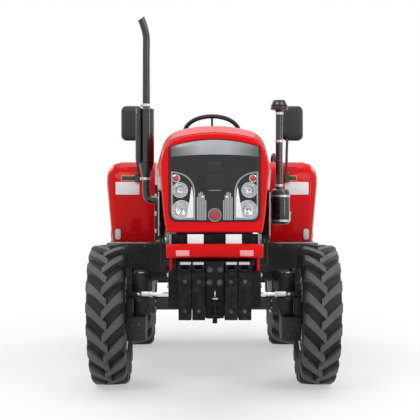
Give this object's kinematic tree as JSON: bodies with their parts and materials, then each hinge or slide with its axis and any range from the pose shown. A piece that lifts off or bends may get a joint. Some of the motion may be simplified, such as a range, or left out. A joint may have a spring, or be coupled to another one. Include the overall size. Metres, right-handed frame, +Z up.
{
  "type": "compact farm tractor",
  "caption": "Compact four-wheel-drive farm tractor with an open platform, tilting hood, steered front axle and rear three-point linkage.",
  "frame": {"origin": "on the ground at the middle of the bounding box", "axes": "+Z up, the tractor faces -Y, +X is its left-hand side"},
  "size_m": [1.46, 3.2642, 2.1864],
  "materials": {
    "red_paint": "glossy",
    "black_paint": "satin",
    "cast_iron": "painted satin",
    "steel": "satin",
    "chrome": "polished",
    "tyre": "matte",
    "wheel_paint": "glossy",
    "silver_paint": "satin",
    "black_plastic": "satin",
    "gloss_black_plastic": "gloss",
    "lamp_lens": "clear",
    "red_lens": "clear",
    "seat_vinyl": "soft"
  },
  "bodies": {
    "chassis": {"front_axle_beam": "cast_iron", "steering_cylinder": "cast_iron", "front_frame": "black_paint", "weight_bracket": "black_paint", "front_weights_left": "black_paint", "front_weights_right": "black_paint", "bumper": "red_paint", "radiator": "black_paint", "engine_block": "cast_iron", "drive_shaft_cover": "cast_iron", "transmission": "cast_iron", "rear_axle_housing": "cast_iron", "lift_housing": "cast_iron", "drawbar": "black_paint", "side_panel_left": "silver_paint", "side_panel_right": "silver_paint", "dash_cowl": "red_paint", "steering_column": "black_plastic", "platform": "black_paint", "gear_levers": "black_plastic", "clutch_pedal": "black_paint", "brake_pedal": "black_paint", "fender_left": "red_paint", "rear_lamp_left": "red_lens", "mirror_left": "black_plastic", "fender_right": "red_paint", "rear_lamp_right": "red_lens", "mirror_right": "black_plastic", "seat_base": "black_paint", "seat_cushion": "seat_vinyl", "seat_backrest": "seat_vinyl", "exhaust_stack": "black_paint", "muffler_shield": "steel", "air_cleaner": "black_paint", "intake_stack": "black_paint"},
    "hood": {"hood": "red_paint", "grille_mask": "gloss_black_plastic", "headlamp_left": "lamp_lens", "headlamp_right": "lamp_lens"},
    "steering_wheel": {"steering_wheel": "black_plastic"},
    "tie_rod": {"tie_rod": "chrome"},
    "lift_arms": {"lift_arms": "cast_iron"},
    "top_link": {"top_link": "cast_iron"},
    "pto_shaft": {"pto_shaft": "steel"},
    "knuckle_left": {"front_knuckle_left": "cast_iron"},
    "front_wheel_left": {"front_rim_left": "wheel_paint", "front_tyre_left": "tyre"},
    "rear_wheel_left": {"rear_rim_left": "wheel_paint", "rear_tyre_left": "tyre"},
    "lift_rod_left": {"lift_rod_left": "cast_iron"},
    "lower_link_left": {"lower_link_left": "cast_iron"},
    "knuckle_right": {"front_knuckle_right": "cast_iron"},
    "front_wheel_right": {"front_rim_right": "wheel_paint", "front_tyre_right": "tyre"},
    "rear_wheel_right": {"rear_rim_right": "wheel_paint", "rear_tyre_right": "tyre"},
    "lift_rod_right": {"lift_rod_right": "cast_iron"},
    "lower_link_right": {"lower_link_right": "cast_iron"}
  },
  "joints": [
    {"name": "steer_left", "type": "hinge", "parent": "chassis", "child": "knuckle_left", "pos_m": [0.42, -0.84209, 0.40183], "axis": [0, 0, 1], "range_deg": [-35, 35]},
    {"name": "steer_right", "type": "hinge", "parent": "chassis", "child": "knuckle_right", "pos_m": [-0.42, -0.84209, 0.40183], "axis": [0, 0, 1], "range_deg": [-35, 35]},
    {"name": "tie_rod_slide", "type": "slide", "parent": "chassis", "child": "tie_rod", "axis": [1, 0, 0], "range_m": [-0.0934, 0.0934]},
    {"name": "steering_wheel_turn", "type": "hinge", "parent": "chassis", "child": "steering_wheel", "pos_m": [0, 0.40791, 1.55], "axis": [0, 0.5, 0.866], "range_deg": [-421, 421]},
    {"name": "front_wheel_spin_left", "type": "hinge", "parent": "knuckle_left", "child": "front_wheel_left", "pos_m": [0.59, -0.84209, 0.40183], "axis": [0.9997, 0, -0.0262], "continuous": true},
    {"name": "rear_wheel_spin_left", "type": "hinge", "parent": "chassis", "child": "rear_wheel_left", "pos_m": [0.57, 0.80791, 0.54903], "axis": [1, 0, 0], "continuous": true},
    {"name": "front_wheel_spin_right", "type": "hinge", "parent": "knuckle_right", "child": "front_wheel_right", "pos_m": [-0.59, -0.84209, 0.40183], "axis": [0.9997, 0, 0.0262], "continuous": true},
    {"name": "rear_wheel_spin_right", "type": "hinge", "parent": "chassis", "child": "rear_wheel_right", "pos_m": [-0.57, 0.80791, 0.54903], "axis": [1, 0, 0], "continuous": true},
    {"name": "hood_lift", "type": "hinge", "parent": "chassis", "child": "hood", "pos_m": [0, -0.10009, 1.483], "axis": [-1, 0, 0], "range_deg": [0, 50]},
    {"name": "lift_arms_raise", "type": "hinge", "parent": "chassis", "child": "lift_arms", "pos_m": [0, 0.91791, 0.86], "axis": [1, 0, 0], "range_deg": [-6, 34]},
    {"name": "lower_link_raise_left", "type": "hinge", "parent": "chassis", "child": "lower_link_left", "pos_m": [0.229, 0.91791, 0.43], "axis": [1, 0, 0], "range_deg": [-6, 34]},
    {"name": "lift_rod_swing_left", "type": "hinge", "parent": "lift_arms", "child": "lift_rod_left", "pos_m": [0.208, 1.20509, 0.81964], "axis": [1, 0, 0], "range_deg": [-34, 6]},
    {"name": "lower_link_raise_right", "type": "hinge", "parent": "chassis", "child": "lower_link_right", "pos_m": [-0.229, 0.91791, 0.43], "axis": [1, 0, 0], "range_deg": [-6, 34]},
    {"name": "lift_rod_swing_right", "type": "hinge", "parent": "lift_arms", "child": "lift_rod_right", "pos_m": [-0.208, 1.20509, 0.81964], "axis": [1, 0, 0], "range_deg": [-34, 6]},
    {"name": "top_link_swing", "type": "hinge", "parent": "chassis", "child": "top_link", "pos_m": [0, 1.01991, 0.85], "axis": [1, 0, 0], "range_deg": [-60, 0]},
    {"name": "pto_spin", "type": "hinge", "parent": "chassis", "child": "pto_shaft", "pos_m": [0, 1.00791, 0.6], "axis": [0, 1, 0], "continuous": true}
  ],
  "couplings": [
    {"joint": "steer_right", "follows": "steer_left", "ratio": 1},
    {"joint": "tie_rod_slide", "follows": "steer_left", "m_per_rad": 0.152},
    {"joint": "steering_wheel_turn", "follows": "steer_left", "ratio": 12},
    {"joint": "lower_link_raise_left", "follows": "lift_arms_raise", "ratio": 1},
    {"joint": "lift_rod_swing_left", "follows": "lift_arms_raise", "ratio": -1},
    {"joint": "lower_link_raise_right", "follows": "lift_arms_raise", "ratio": 1},
    {"joint": "lift_rod_swing_right", "follows": "lift_arms_raise", "ratio": -1}
  ]
}
